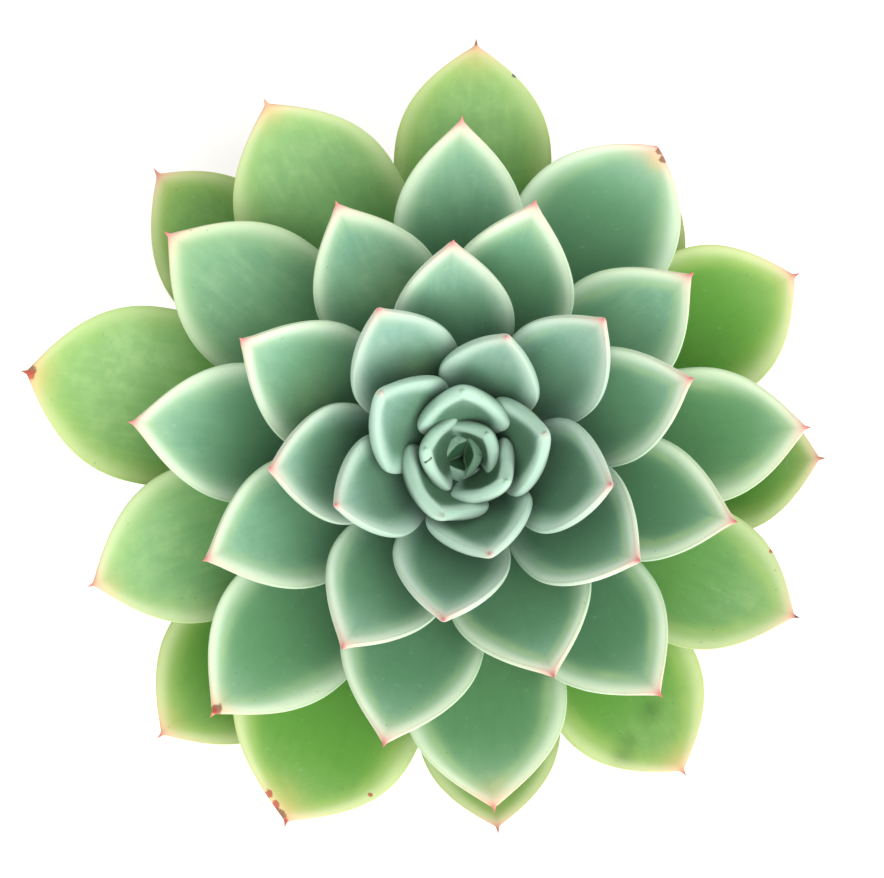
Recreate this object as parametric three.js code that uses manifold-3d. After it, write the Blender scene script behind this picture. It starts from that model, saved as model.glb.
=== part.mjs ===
// A potted echeveria: a rosette of fleshy leaves on a short stem, rooted in gritty soil in a plain clay pot.
// Millimetres, +Z up. The origin is the centre of the pot's base, on the surface that it stands on.
// The leaves stand in one spiral, each turned by the same angle from the one before it.
// Leaf 0 is the youngest, at the heart, and the last is the oldest, lowest and flattest.
import * as THREE from "three";
import { mergeVertices } from "three/addons/utils/BufferGeometryUtils.js";
import Module from "manifold-3d";

const wasm = await Module();
wasm.setup();

const radians = THREE.MathUtils.degToRad;
const clamp = THREE.MathUtils.clamp;
const lerp = THREE.MathUtils.lerp;

// Clearance between pieces that rest against each other
const FIT_GAP = 0.3;

// Pot
const POT_HEIGHT = 52;
const RIM_RADIUS = 35;
const RIM_BAND = 12;
const RIM_STEP = 1.6;
const BASE_RADIUS = 25;
const WALL = 3.4;
const FLOOR = 4.5;
const DRAIN_RADIUS = 4;
const EDGE_ROUND = 0.9;
const POT_SIDES = 40;

// Soil
const SOIL_DROP = 5;
const SOIL_HUMP = 1.4;
const GRIT_HEIGHT = 0.4;
const SOIL_RINGS = 8;

// Stem. Its axis is off the pot's, because the rosette has grown wider on one side
const STEM_X = 5.8;
const STEM_Y = -2.5;
const STEM_RADIUS = 5.4;
const STEM_SIDES = 14;
const ROOT_DEPTH = 13;
const ROOT_TAPER = 1.4;
const SCAR_HEIGHT = 0.35;
const SCAR_PITCH = 2.2;

// Spiral. The first leaves, up to BUD_LEAVES, are grown together,
// and no leaf touches one that is more than NEIGHBOURS places younger
const BUD_LEAVES = 3;
const NEIGHBOURS = 13;
const FIRST_AZIMUTH = 341.9;
const DIVERGENCE = 138.3;

// Crown: the cone of the stem's tip that the leaves grow from, as high as where the youngest stands
const CROWN_HEIGHT = 86;
const CROWN_DROP = 30;
const CROWN_TIP_SHARE = 0.28;
const CROWN_TIP_RADIUS = 0.5;
const CROWN_RADIUS = 7.4;
const SEAT_DEPTH = 0.4;
const BUD_CORE_HEIGHT = 3.5;

// How far each leaf's tip reaches from the stem's axis, seen from above
const REACH = [
  2.2, 3, 3.5, 4.4, 5.8, 6.9, 9.2, 9.3, 11.8, 15,
  14.6, 17.9, 19.8, 21.2, 24.2, 23.8, 27.7, 28.1, 29.1, 30.7,
  32.8, 34.4, 36.3, 34.4, 37.9, 40.5, 40.3, 41, 43.6, 42.2,
  48.7, 45.2, 49, 52.8, 50.4, 54.3, 52.2, 52.9, 58.2, 54.5,
  59.8, 60.6, 56.1, 66.4, 57.6, 61.4, 61.9, 53.7, 62.7, 56.7,
  52.3,
];

// How wide each leaf is along the curve of its face, at its widest
const WIDTH = [
  7, 10.5, 11.5, 12, 13, 14, 15.5, 17, 16.5, 17.5,
  17.5, 16.5, 17, 18.5, 18, 18.5, 17, 19, 21, 19,
  19.5, 18.5, 20.5, 22.5, 20, 20.5, 19.5, 20, 22, 20,
  21.5, 22, 20, 23, 21, 23.5, 25, 25, 24, 22,
  26, 29.5, 24, 27, 24, 24, 24.5, 22.5, 22, 22,
  19.5,
];

// How far each tip has grown away from its place in the spiral, in degrees
const TURN = [
  15, 2, 3.5, 9, -4, 16, 1, 22, 7.5, -4,
  -1, 7.5, -0.5, 9, 2, 6, 10, 11, 17.5, 3.5,
  9.5, 12.5, 8, 9, 13.5, 2.5, 8.5, 1, 0, 6,
  3.5, 0, 3, 0, 0.5, 1, -6, -1, 2, -1.5,
  5.5, -8, -2, 0.5, -2.5, 3, -1, -2.5, -3, -3.5,
  -3,
];

// Blades that stand to one side of their own tips, and by how many degrees round the stem
const SIDEWAYS = {
  3: -7, 4: 3, 5: -13, 7: -20, 8: -5, 9: 7, 11: 1, 13: -2, 14: 5,
  16: -1.5, 18: -1, 19: 2, 22: 2, 27: 1, 31: -1, 32: 1, 33: -1, 37: 2,
  38: -1, 39: -2, 40: 1, 41: -2.5, 47: -1, 48: 3, 50: -2,
};

// Leaf. The young leaves of the heart and the ripe ones of the skirt have forms of their own,
// and those from HEART_LEAVES to RIPE_FROM lie between
const STATIONS = [0, 0.18, 0.38, 0.57, 0.73, 0.85, 0.93, 0.974];
const BUD_STATIONS = [0, 0.35, 0.64, 0.84, 0.96];
const SECTION_POINTS = 12;
const HEART_LEAVES = 16;
const RIPE_FROM = 24;
const RIPE_SPAN = 18;
const NECK_WIDTH = 0.34;
const SIDEWAYS_UNTIL = 0.55;
const YOUNGEST_SLOPE = 78;
const BUD_SLOPE = 55;
const OLD_CURL = 30;
const YOUNG_CURL = 38;
const OLD_CUP = 0.4;
const YOUNG_CUP = 1;
const HEART_CUP = 0.4;
const BUD_CUP = 0.8;
const BUD_POINT = 0.6;
const LEAST_THICKNESS = 1;
const THICKNESS_FOR_WIDTH = 0.15;
const HEART_FATNESS = 0.25;
const NEWBORN_THINNESS = 0.6;
const GROWN_FROM = 6;

const oldest = REACH.length - 1;
const age = (k) => k / oldest;

// Where leaf k leaves the stem
const seatRadius = (k) => lerp(CROWN_TIP_RADIUS, CROWN_RADIUS, Math.pow(age(k), 0.7));
const seatHeight = (k) => CROWN_HEIGHT - CROWN_DROP * lerp(age(k), Math.sqrt(age(k)), CROWN_TIP_SHARE);

// Young leaves stand up and old ones lie flat, and every leaf curls up towards its tip.
// The bud's own leaves are still short, so they lean in over it, deep in the heart.
const steepest = (k) => radians(k < BUD_LEAVES ? BUD_SLOPE : YOUNGEST_SLOPE);
const slopeOf = (k) => steepest(k) * Math.pow(1 - k / (oldest + 8), 1.2);
const curlOf = (k) => radians(lerp(YOUNG_CURL, OLD_CURL, age(k)));

// How far a leaf belongs to the heart, from 1 for the youngest down to 0
const heartShare = (k) => 1 - clamp(k / HEART_LEAVES, 0, 1);

// How far the face turns up from the middle to each edge: the young leaves are deep cups,
// and those of the heart close round the bud
const openCup = (k) => lerp(OLD_CUP, YOUNG_CUP, Math.pow(1 - age(k), 1.5));
const closingCup = (k) => openCup(k) + HEART_CUP * Math.pow(heartShare(k), 2);
const cupOf = (k) => (k < BUD_LEAVES ? BUD_CUP : closingCup(k));

// A leaf is as thick as its width asks. A young one is fatter and has a blunter edge,
// but the first few are newborn, and still thin
const flatThickness = (k) => LEAST_THICKNESS + THICKNESS_FOR_WIDTH * WIDTH[k];
const newbornShare = (k) => lerp(NEWBORN_THINNESS, 1, clamp(k / GROWN_FROM, 0, 1));
const thicknessOf = (k) => flatThickness(k) * (1 + HEART_FATNESS * heartShare(k)) * newbornShare(k);
const bluntnessOf = (k) => lerp(0.32, 0.55, heartShare(k));

// The share of the thickness above the midrib: a young leaf swells towards the heart,
// and an old one has a flat face and a round back
const upperShareOf = (k) => lerp(0.3, 0.62, heartShare(k));

const azimuthOf = (k) => radians(FIRST_AZIMUTH + k * DIVERGENCE + TURN[k]);

// The leaf's outline: half its width at s, from 0 at the base to 1 at the tip, as a share of the widest.
// The old leaves have fuller shoulders. The young ones draw in sooner, and end more roundly.
function outlineAt(k, s) {
  const ripe = clamp((k - RIPE_FROM) / RIPE_SPAN, 0, 1);
  const pointed = clamp((14 - k) / 5, 0, 1);
  const widestAt = lerp(0.59, 0.66, ripe);
  if (s < widestAt) {
    const rise = Math.sin((Math.PI / 2) * (s / widestAt));
    return NECK_WIDTH + (1 - NECK_WIDTH) * Math.pow(rise, 1.6);
  }
  const q = (s - widestAt) / (1 - widestAt);
  const shoulder = lerp(2.1, 2.65, ripe) - 0.6 * pointed;
  const point = k < BUD_LEAVES ? BUD_POINT : lerp(1.22, 0.95, ripe) - 0.25 * pointed;
  return Math.pow(1 - Math.pow(q, shoulder), point);
}

// Thickness at s as a share of the greatest: thin where it leaves the stem, full in the middle
function fullnessAt(k, s) {
  const young = clamp(1 - k / 12, 0, 1);
  const swelling = Math.sin(Math.PI * Math.min(1, s / 0.92));
  const held = s < 0.5 ? swelling : Math.max(swelling, young);
  return (0.5 + 0.5 * held) * Math.sqrt(1 - Math.pow(s, 9));
}

// The leaf's midrib, an arc in the upright plane through the stem's axis, that ends at the tip's reach
function midribOf(k) {
  const start = seatRadius(k) - SEAT_DEPTH;
  const base = slopeOf(k) - curlOf(k) / 2;
  const curl = curlOf(k);
  const outward = (s) => (Math.sin(base + curl * s) - Math.sin(base)) / curl;
  const upward = (s) => (Math.cos(base) - Math.cos(base + curl * s)) / curl;
  const length = (REACH[k] - start) / outward(1);
  return {
    slope: (s) => base + curl * s,
    radius: (s) => start + length * outward(s),
    height: (s) => seatHeight(k) + length * upward(s),
  };
}

// One leaf as a closed mesh: rings of points round its section, a cap at the base and a point at the tip.
// swell grows it on every side, for the room that its neighbours leave it.
function leafGeometry(k, swell) {
  const midrib = midribOf(k);
  const stations = k < BUD_LEAVES ? BUD_STATIONS : STATIONS;
  const points = [];
  const place = (s, across, above) => {
    const slope = midrib.slope(s);
    const radius = midrib.radius(s) - above * Math.sin(slope);
    const height = midrib.height(s) + above * Math.cos(slope);
    const straightened = Math.pow(Math.max(0, (s - SIDEWAYS_UNTIL) / (1 - SIDEWAYS_UNTIL)), 2);
    const azimuth = azimuthOf(k) + radians(SIDEWAYS[k] ?? 0) * (1 - straightened);
    points.push(radius * Math.cos(azimuth) - across * Math.sin(azimuth));
    points.push(radius * Math.sin(azimuth) + across * Math.cos(azimuth));
    points.push(height);
  };

  for (const s of stations) {
    const halfWidth = (outlineAt(k, s) * WIDTH[k]) / 2 + swell;
    const bend = cupOf(k) * (0.55 + 0.45 * Math.sin(Math.PI * Math.pow(s, 1.1)));
    const thickness = thicknessOf(k) * fullnessAt(k, s);
    for (let j = 0; j < SECTION_POINTS; j += 1) {
      const angle = (2 * Math.PI * j) / SECTION_POINTS;
      const t = Math.sign(Math.cos(angle)) * Math.pow(Math.abs(Math.cos(angle)), 0.9);
      const blunt = Math.sqrt(Math.max(0, 1 - Math.pow(t, 8)));
      const lens = lerp(1 - t * t, blunt, bluntnessOf(k));
      const side = Math.abs(Math.sin(angle)) < 1e-6 ? 0 : Math.sign(Math.sin(angle));
      const share = side > 0 ? upperShareOf(k) : 1 - upperShareOf(k);
      const off = side * (thickness * lens * share + swell);
      const arc = halfWidth / bend - off;
      place(s, arc * Math.sin(bend * t), halfWidth / bend - arc * Math.cos(bend * t));
    }
  }
  place(stations[0], 0, 0);
  place(1, 0, 0);

  const baseCentre = stations.length * SECTION_POINTS;
  const tip = baseCentre + 1;
  const faces = [];
  for (let j = 0; j < SECTION_POINTS; j += 1) {
    const next = (j + 1) % SECTION_POINTS;
    for (let i = 0; i + 1 < stations.length; i += 1) {
      const low = i * SECTION_POINTS;
      const high = low + SECTION_POINTS;
      faces.push(low + j, low + next, high + next);
      faces.push(low + j, high + next, high + j);
    }
    const last = (stations.length - 1) * SECTION_POINTS;
    faces.push(baseCentre, next, j);
    faces.push(tip, last + j, last + next);
  }
  const geometry = new THREE.BufferGeometry();
  geometry.setAttribute("position", new THREE.Float32BufferAttribute(points, 3));
  geometry.setIndex(faces);
  return geometry;
}

// A three.js geometry as a solid that can be cut, and back again
function solidOf(geometry) {
  const bare = geometry.clone();
  bare.deleteAttribute("normal");
  bare.deleteAttribute("uv");
  const merged = mergeVertices(bare, 1e-4);
  const mesh = new wasm.Mesh({
    numProp: 3,
    vertProperties: new Float32Array(merged.attributes.position.array),
    triVerts: new Uint32Array(merged.index.array),
  });
  return new wasm.Manifold(mesh);
}

function geometryOf(solid) {
  const mesh = solid.getMesh();
  const geometry = new THREE.BufferGeometry();
  geometry.setAttribute("position", new THREE.BufferAttribute(mesh.vertProperties, 3));
  geometry.setIndex(new THREE.BufferAttribute(mesh.triVerts, 1));
  return geometry;
}

// The largest body of a solid, without the scraps that a cut leaves
function mainBody(solid) {
  return solid.decompose().reduce((best, body) => (body.volume() > best.volume() ? body : best));
}

// A solid of revolution about +Z from [radius, height] pairs, listed from the bottom up its outside
function turned(profile, sides) {
  const outline = profile.map(([radius, height]) => new THREE.Vector2(radius, height));
  const geometry = new THREE.LatheGeometry(outline, sides);
  geometry.rotateX(Math.PI / 2);
  return geometry;
}

// Pot: a tapered wall with a plain band round the rim and one drain hole in the floor
const outerRadius = (height) => lerp(BASE_RADIUS, RIM_RADIUS - RIM_STEP, height / POT_HEIGHT);
const innerRadius = (height) => outerRadius(height) - WALL;

function potGeometry() {
  const bandBottom = POT_HEIGHT - RIM_BAND;
  const inner = innerRadius(POT_HEIGHT);
  return turned([
    [DRAIN_RADIUS, 0],
    [BASE_RADIUS - EDGE_ROUND, 0],
    [BASE_RADIUS, EDGE_ROUND],
    [outerRadius(bandBottom), bandBottom],
    [RIM_RADIUS - EDGE_ROUND / 2, bandBottom + EDGE_ROUND],
    [RIM_RADIUS, bandBottom + 2 * EDGE_ROUND],
    [RIM_RADIUS, POT_HEIGHT - EDGE_ROUND],
    [RIM_RADIUS - EDGE_ROUND, POT_HEIGHT],
    [inner + EDGE_ROUND, POT_HEIGHT],
    [inner, POT_HEIGHT - EDGE_ROUND],
    [innerRadius(FLOOR), FLOOR],
    [DRAIN_RADIUS, FLOOR],
    [DRAIN_RADIUS, 0],
  ], POT_SIDES);
}

// Stem: a root end in the soil, a bare neck ringed by the scars of fallen leaves, and a cone under the crown
const soilTop = POT_HEIGHT - SOIL_DROP;
const neckTop = seatHeight(oldest) - 1;
const crownSteps = [oldest, 36, 22, 10, 5, BUD_LEAVES];

function stemProfile(swell) {
  const foot = soilTop - ROOT_DEPTH;
  const profile = [
    [0, foot - swell],
    [STEM_RADIUS - ROOT_TAPER + swell, foot - swell],
    [STEM_RADIUS + swell, foot + 2 * ROOT_TAPER],
  ];
  for (let height = soilTop + 1; height < neckTop - SCAR_PITCH; height += SCAR_PITCH) {
    const rise = (height - soilTop) / (neckTop - soilTop);
    const radius = lerp(STEM_RADIUS, seatRadius(oldest) - SEAT_DEPTH, rise) + swell;
    profile.push([radius, height]);
    profile.push([radius + SCAR_HEIGHT, height + SCAR_PITCH / 2]);
  }
  for (const k of crownSteps) {
    profile.push([seatRadius(k) - SEAT_DEPTH + swell, seatHeight(k)]);
  }
  profile.push([0, seatHeight(BUD_LEAVES) + swell]);
  return profile;
}

// Soil: it fills the pot to below the rim, heaped a little at the stem, with a surface of coarse grit.
// The surface is a sum of waves that don't repeat, and the stem stands in a plain hole.
function soilSurface(x, y) {
  const away = Math.hypot(x - STEM_X, y - STEM_Y) / RIM_RADIUS;
  const heap = SOIL_HUMP * Math.exp(-Math.pow(away / 0.5, 2));
  const coarse = Math.sin(1.9 * x + 0.6 * y) * Math.sin(1.5 * y - 0.8 * x + 1);
  const fine = 0.6 * Math.sin(2.7 * x - 2.2 * y);
  return soilTop - SOIL_HUMP + heap + GRIT_HEIGHT * (coarse + fine);
}

function soilGeometry() {
  const topRadius = innerRadius(soilTop - 2 * SOIL_HUMP) - FIT_GAP;
  const footRadius = innerRadius(FLOOR) - FIT_GAP;
  const foot = FLOOR + FIT_GAP;
  const points = [0, 0, soilSurface(0, 0)];
  const faces = [];
  for (let side = 0; side < POT_SIDES; side += 1) {
    const angle = (2 * Math.PI * side) / POT_SIDES;
    for (let ring = 1; ring <= SOIL_RINGS; ring += 1) {
      const x = (topRadius * ring * Math.cos(angle)) / SOIL_RINGS;
      const y = (topRadius * ring * Math.sin(angle)) / SOIL_RINGS;
      points.push(x, y, soilSurface(x, y));
    }
    points.push(footRadius * Math.cos(angle), footRadius * Math.sin(angle), foot);
  }
  points.push(0, 0, foot);

  const perSide = SOIL_RINGS + 1;
  const underside = 1 + POT_SIDES * perSide;
  for (let side = 0; side < POT_SIDES; side += 1) {
    const here = 1 + side * perSide;
    const next = 1 + ((side + 1) % POT_SIDES) * perSide;
    faces.push(0, here, next);
    for (let ring = 0; ring < SOIL_RINGS; ring += 1) {
      faces.push(here + ring, here + ring + 1, next + ring + 1);
      faces.push(here + ring, next + ring + 1, next + ring);
    }
    faces.push(underside, next + SOIL_RINGS, here + SOIL_RINGS);
  }
  const geometry = new THREE.BufferGeometry();
  geometry.setAttribute("position", new THREE.Float32BufferAttribute(points, 3));
  geometry.setIndex(faces);
  const stemHole = turned(stemProfile(FIT_GAP), STEM_SIDES).translate(STEM_X, STEM_Y, 0);
  return geometryOf(solidOf(geometry).subtract(solidOf(stemHole)));
}

// Bud: the youngest leaves, grown together on the stem's tip
function budSolid(swell) {
  const foot = seatHeight(BUD_LEAVES) + FIT_GAP;
  const radius = seatRadius(BUD_LEAVES) + swell;
  const core = turned([
    [0, foot - swell],
    [radius, foot - swell],
    [0.8 * radius, foot + 0.6 * BUD_CORE_HEIGHT + swell],
    [0, foot + BUD_CORE_HEIGHT + swell],
  ], SECTION_POINTS);
  let bud = solidOf(core);
  for (let k = 0; k < BUD_LEAVES; k += 1) {
    bud = bud.add(solidOf(leafGeometry(k, swell)));
  }
  return bud;
}

const stemRoom = solidOf(turned(stemProfile(FIT_GAP), STEM_SIDES));

// Leaves: each is cut to sit against the stem, and gives way to any younger neighbour that presses on it
function leafSolids() {
  const younger = [{ touch: budSolid(FIT_GAP / 3), room: budSolid(FIT_GAP) }];
  const solids = [];
  for (let k = BUD_LEAVES; k <= oldest; k += 1) {
    let leaf = solidOf(leafGeometry(k, 0)).subtract(stemRoom);
    for (const { touch, room } of younger.slice(-NEIGHBOURS)) {
      if (leaf.intersect(touch).volume() > 0) {
        leaf = leaf.subtract(room);
      }
    }
    solids.push(mainBody(leaf));
    younger.push({ touch: solidOf(leafGeometry(k, FIT_GAP / 3)), room: solidOf(leafGeometry(k, FIT_GAP)) });
  }
  return solids;
}

const clay = new THREE.MeshStandardMaterial({ color: 0xb4694a, roughness: 0.9, metalness: 0 });
const soil = new THREE.MeshStandardMaterial({ color: 0x4a3a2c, roughness: 1, metalness: 0 });
const bark = new THREE.MeshStandardMaterial({ color: 0x8b7a58, roughness: 0.85, metalness: 0 });
const youngGreen = new THREE.Color(0xa9d3b8);
const oldGreen = new THREE.Color(0x86b566);

function leafMaterial(k) {
  const color = youngGreen.clone().lerp(oldGreen, clamp((k - HEART_LEAVES) / RIPE_FROM, 0, 1));
  return new THREE.MeshStandardMaterial({ color, roughness: 0.55, metalness: 0 });
}

function named(name, geometry, material) {
  const mesh = new THREE.Mesh(geometry, material);
  mesh.name = name;
  return mesh;
}

const plant = new THREE.Group();
plant.position.set(STEM_X, STEM_Y, 0);
plant.add(named("stem", turned(stemProfile(0), STEM_SIDES), bark));
plant.add(named("bud", geometryOf(mainBody(budSolid(0).subtract(stemRoom))), leafMaterial(0)));
leafSolids().forEach((solid, index) => {
  const k = BUD_LEAVES + index;
  plant.add(named(`leaf_${String(k).padStart(2, "0")}`, geometryOf(solid), leafMaterial(k)));
});

const object = new THREE.Group();
object.add(named("pot", potGeometry(), clay));
object.add(named("soil", soilGeometry(), soil));
object.add(plant);

export default object;
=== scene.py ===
# %% [markdown]
# # A potted echeveria
# A rosette of fleshy leaves stands on a short corky stem, rooted in gritty soil in a plain clay pot.
# Each leaf could be sculpted by hand, or one leaf could be copied and turned.
# Here every leaf is a formula of its place in the spiral instead, so all of them differ as living ones do.
# Millimetres are used while a shape is worked out, and metres once it goes into a mesh.

# %% Load the frame
import math

import bpy
import numpy as np
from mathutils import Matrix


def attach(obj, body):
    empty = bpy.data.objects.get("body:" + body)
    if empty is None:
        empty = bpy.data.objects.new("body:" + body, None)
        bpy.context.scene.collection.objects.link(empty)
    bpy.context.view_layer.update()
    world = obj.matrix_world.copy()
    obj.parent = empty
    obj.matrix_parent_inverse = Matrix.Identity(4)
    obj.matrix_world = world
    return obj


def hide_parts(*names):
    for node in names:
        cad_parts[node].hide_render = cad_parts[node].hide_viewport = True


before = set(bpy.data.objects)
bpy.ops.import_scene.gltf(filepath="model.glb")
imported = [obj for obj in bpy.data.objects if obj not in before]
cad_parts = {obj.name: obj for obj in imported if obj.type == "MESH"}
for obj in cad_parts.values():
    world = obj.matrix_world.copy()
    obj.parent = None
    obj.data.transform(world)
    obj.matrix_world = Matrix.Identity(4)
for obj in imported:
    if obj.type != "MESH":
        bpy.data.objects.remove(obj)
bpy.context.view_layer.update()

# %% [markdown]
# ## Camera
# The photograph looks straight down on the plant from about a metre away, with a long lens.
# A camera turned to look along -Z with its top towards +Y sees the rosette in the same way.
# The lens follows from how much of the rosette fits across the picture.
# The picture's middle lies a few millimetres from the stem, so the camera is shifted by as much.

# %% Camera
STEM_X = 5.8
STEM_Y = -2.5
VIEW_HEIGHT = 985.0
LEAF_LEVEL = 85.0
VIEW_WIDTH = 128.18
VIEW_SHIFT_X = -3.335
VIEW_SHIFT_Y = 2.32
SENSOR = 36.0
FAR_LIMIT = 20.0

camera_data = bpy.data.cameras.new("camera")
camera_data.sensor_fit = "HORIZONTAL"
camera_data.sensor_width = SENSOR
camera_data.lens = SENSOR * (VIEW_HEIGHT - LEAF_LEVEL) / VIEW_WIDTH
camera_data.clip_end = FAR_LIMIT
camera = bpy.data.objects.new("camera", camera_data)
camera.location = (
    (STEM_X + VIEW_SHIFT_X) / 1000,
    (STEM_Y + VIEW_SHIFT_Y) / 1000,
    VIEW_HEIGHT / 1000,
)
bpy.context.scene.collection.objects.link(camera)
bpy.context.scene.camera = camera
print("Lens, in millimetres:", round(camera_data.lens, 1))

# %% [markdown]
# ## Light
# The plant was lit by soft light from all round, so the leaves are bright on top
# and get darker only where one leaf keeps the sky from another.
# A pale dome gives that on its own. One wide lamp, above and towards the lower right of the picture,
# adds the soft sheen on the wax.

# %% Light
DOME_COLOUR = (0.97, 0.985, 1.0, 1.0)
DOME_STRENGTH = 1.06
LAMP_SIZE = 2.0
LAMP_POWER = 44.0
LAMP_PLACE = (0.5, -0.7, 1.25)

world = bpy.data.worlds.new("studio")
world.use_nodes = True
world.node_tree.nodes["Background"].inputs["Color"].default_value = DOME_COLOUR
world.node_tree.nodes["Background"].inputs["Strength"].default_value = DOME_STRENGTH
bpy.context.scene.world = world
bpy.context.scene.view_settings.view_transform = "Standard"


def soft_lamp(name, place, size, power):
    """A square lamp at a place in metres, turned so that it shines at the rosette."""
    data = bpy.data.lights.new(name, "AREA")
    data.shape = "SQUARE"
    data.size = size
    data.energy = power
    lamp = bpy.data.objects.new(name, data)
    lamp.location = place
    x, y, z = place
    lean = math.atan2(math.hypot(x, y), z - LEAF_LEVEL / 1000)
    lamp.rotation_euler = (lean, 0, math.atan2(y, x) + math.pi / 2)
    bpy.context.scene.collection.objects.link(lamp)
    return lamp


soft_lamp("overhead", LAMP_PLACE, LAMP_SIZE, LAMP_POWER)
print("Lamp at, in metres:", LAMP_PLACE)

# %% [markdown]
# ## Helpers for surfaces
# Leaves, stem, soil and stones are closed tubes: rings of points that are shut by a point at each end.
# The pot's wall is a loop instead: its last ring of points joins its first again.
# A grid of points and a rule for its faces cover them all, and numpy works out the whole grid at once.

# %% Helpers for surfaces
def tube_faces(rows, columns):
    """Faces of a closed tube: quads between each ring and the next, and a fan of triangles at each end.

    The points are numbered ring by ring. The first pole comes after them, and then the last pole.
    """
    ring = np.arange(rows - 1)[:, None] * columns
    here = np.arange(columns)
    after = (here + 1) % columns
    quads = np.stack(
        [ring + here, ring + after, ring + columns + after, ring + columns + here], axis=-1
    )
    first_pole = np.full(columns, rows * columns)
    last_ring = (rows - 1) * columns
    start = np.stack([first_pole, after, here], axis=-1)
    end = np.stack([first_pole + 1, last_ring + here, last_ring + after], axis=-1)
    return quads.reshape(-1, 4).tolist() + start.tolist() + end.tolist()


def loop_faces(rows, columns):
    """Faces of a closed ring, such as a pot's wall, whose last row of points joins its first again."""
    here = np.arange(columns)
    after = (here + 1) % columns
    ring = np.arange(rows)[:, None] * columns
    further = np.roll(ring, -1, axis=0)
    quads = np.stack([ring + here, ring + after, further + after, further + here], axis=-1)
    return quads.reshape(-1, 4).tolist()


def tube_points(rings, first_pole, last_pole):
    """Points in millimetres, shape (rows, columns, 3), with both poles added, as one list in metres."""
    poles = np.array([first_pole, last_pole], dtype=float)
    return np.concatenate([rings.reshape(-1, 3), poles]) / 1000


def solid_piece(name, points, faces, material):
    """A smooth-shaded object from points in metres and faces."""
    mesh = bpy.data.meshes.new(name)
    mesh.from_pydata(points.tolist(), [], faces)
    mesh.polygons.foreach_set("use_smooth", np.ones(len(mesh.polygons), dtype=bool))
    mesh.materials.append(material)
    mesh.update()
    piece = bpy.data.objects.new(name, mesh)
    bpy.context.scene.collection.objects.link(piece)
    return piece


def paint(piece, name, values):
    """Stores one number for each point, for a material to read by name."""
    layer = piece.data.attributes.new(name, "FLOAT", "POINT")
    layer.data.foreach_set("value", np.ascontiguousarray(values, dtype=np.float32).ravel())


def finish_piece(piece, slot, *nodes):
    """The piece rides on the one body and stands for its nodes. The slot is not used."""
    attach(piece, "root")
    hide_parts(*nodes)


# %% [markdown]
# ## Helpers for materials
# A finish is a small network of nodes. These few functions keep each network short enough to read.

# %% Helpers for materials
class Finish:
    """A material and the nodes that colour it."""

    def __init__(self, name):
        self.material = bpy.data.materials.new(name)
        self.material.use_nodes = True
        self.tree = self.material.node_tree
        self.shader = self.tree.nodes["Principled BSDF"]
        self.place = self.node("ShaderNodeTexCoord").outputs["Object"]

    def node(self, kind, inputs=None, **settings):
        """Adds a node, sets its properties, and sets or links its inputs."""
        made = self.tree.nodes.new(kind)
        for key, value in settings.items():
            setattr(made, key, value)
        for key, value in (inputs or {}).items():
            if isinstance(value, bpy.types.NodeSocket):
                self.tree.links.new(value, made.inputs[key])
            else:
                made.inputs[key].default_value = value
        return made

    def painted(self, name):
        """The number that paint() stored for each point."""
        return self.node("ShaderNodeAttribute", attribute_name=name).outputs["Fac"]

    def noise(self, size, detail=4.0, roughness=0.55):
        """Soft random patches, about as wide as size in millimetres."""
        inputs = {"Vector": self.place, "Scale": 1000 / size, "Detail": detail, "Roughness": roughness}
        return self.node("ShaderNodeTexNoise", inputs).outputs["Fac"]

    def spread(self, value, low, high, to_low=0.0, to_high=1.0):
        """Value from low to high becomes to_low to to_high, with soft ends."""
        inputs = {"Value": value, "From Min": low, "From Max": high, "To Min": to_low, "To Max": to_high}
        return self.node("ShaderNodeMapRange", inputs, interpolation_type="SMOOTHSTEP").outputs["Result"]

    def maths(self, operation, first, second):
        """One sum with two numbers."""
        return self.node("ShaderNodeMath", {0: first, 1: second}, operation=operation).outputs["Value"]

    def mixed(self, factor, below, above, blend="MIX"):
        """The colour below, covered by the colour above as far as the factor says."""
        made = self.node("ShaderNodeMix", {0: factor, 6: below, 7: above}, data_type="RGBA", blend_type=blend)
        return made.outputs[2]

    def relief(self, *layers):
        """Bumps on bumps: each layer is a height and how many millimetres it stands up."""
        normal = None
        for height, depth in layers:
            inputs = {"Height": height, "Distance": depth / 1000, "Strength": 1.0}
            if normal:
                inputs["Normal"] = normal
            normal = self.node("ShaderNodeBump", inputs).outputs["Normal"]
        self.tree.links.new(normal, self.shader.inputs["Normal"])

    def wear(self, colour, roughness):
        """Links the finished colour and roughness to the shader."""
        self.tree.links.new(colour, self.shader.inputs["Base Color"])
        if isinstance(roughness, bpy.types.NodeSocket):
            self.tree.links.new(roughness, self.shader.inputs["Roughness"])
        else:
            self.shader.inputs["Roughness"].default_value = roughness


def srgb(red, green, blue):
    """A colour as a screen shows it, from 0 to 255, as the linear colour that a shader takes."""
    share = np.array([red, green, blue]) / 255
    linear = np.where(share < 0.04045, share / 12.92, ((share + 0.055) / 1.055) ** 2.4)
    return (*linear.tolist(), 1.0)


# %% [markdown]
# ## The floor
# A plain pale sheet, large enough that its edge is never seen.
# Its paper finish is a little rough, so that it shows no glare.

# %% The floor
FLOOR_HALF = 4.0

floor_finish = Finish("paper_floor")
floor_tone = floor_finish.mixed(floor_finish.noise(40.0), srgb(250, 250, 249), srgb(254, 254, 253))
floor_finish.wear(floor_tone, 0.9)
floor_mesh = bpy.data.meshes.new("floor")
near = -FLOOR_HALF
far = FLOOR_HALF
corners = [(near, near, 0), (far, near, 0), (far, far, 0), (near, far, 0)]
floor_mesh.from_pydata(corners, [], [(0, 1, 2, 3)])
floor_mesh.materials.append(floor_finish.material)
floor = bpy.data.objects.new("floor", floor_mesh)
bpy.context.scene.collection.objects.link(floor)

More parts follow.
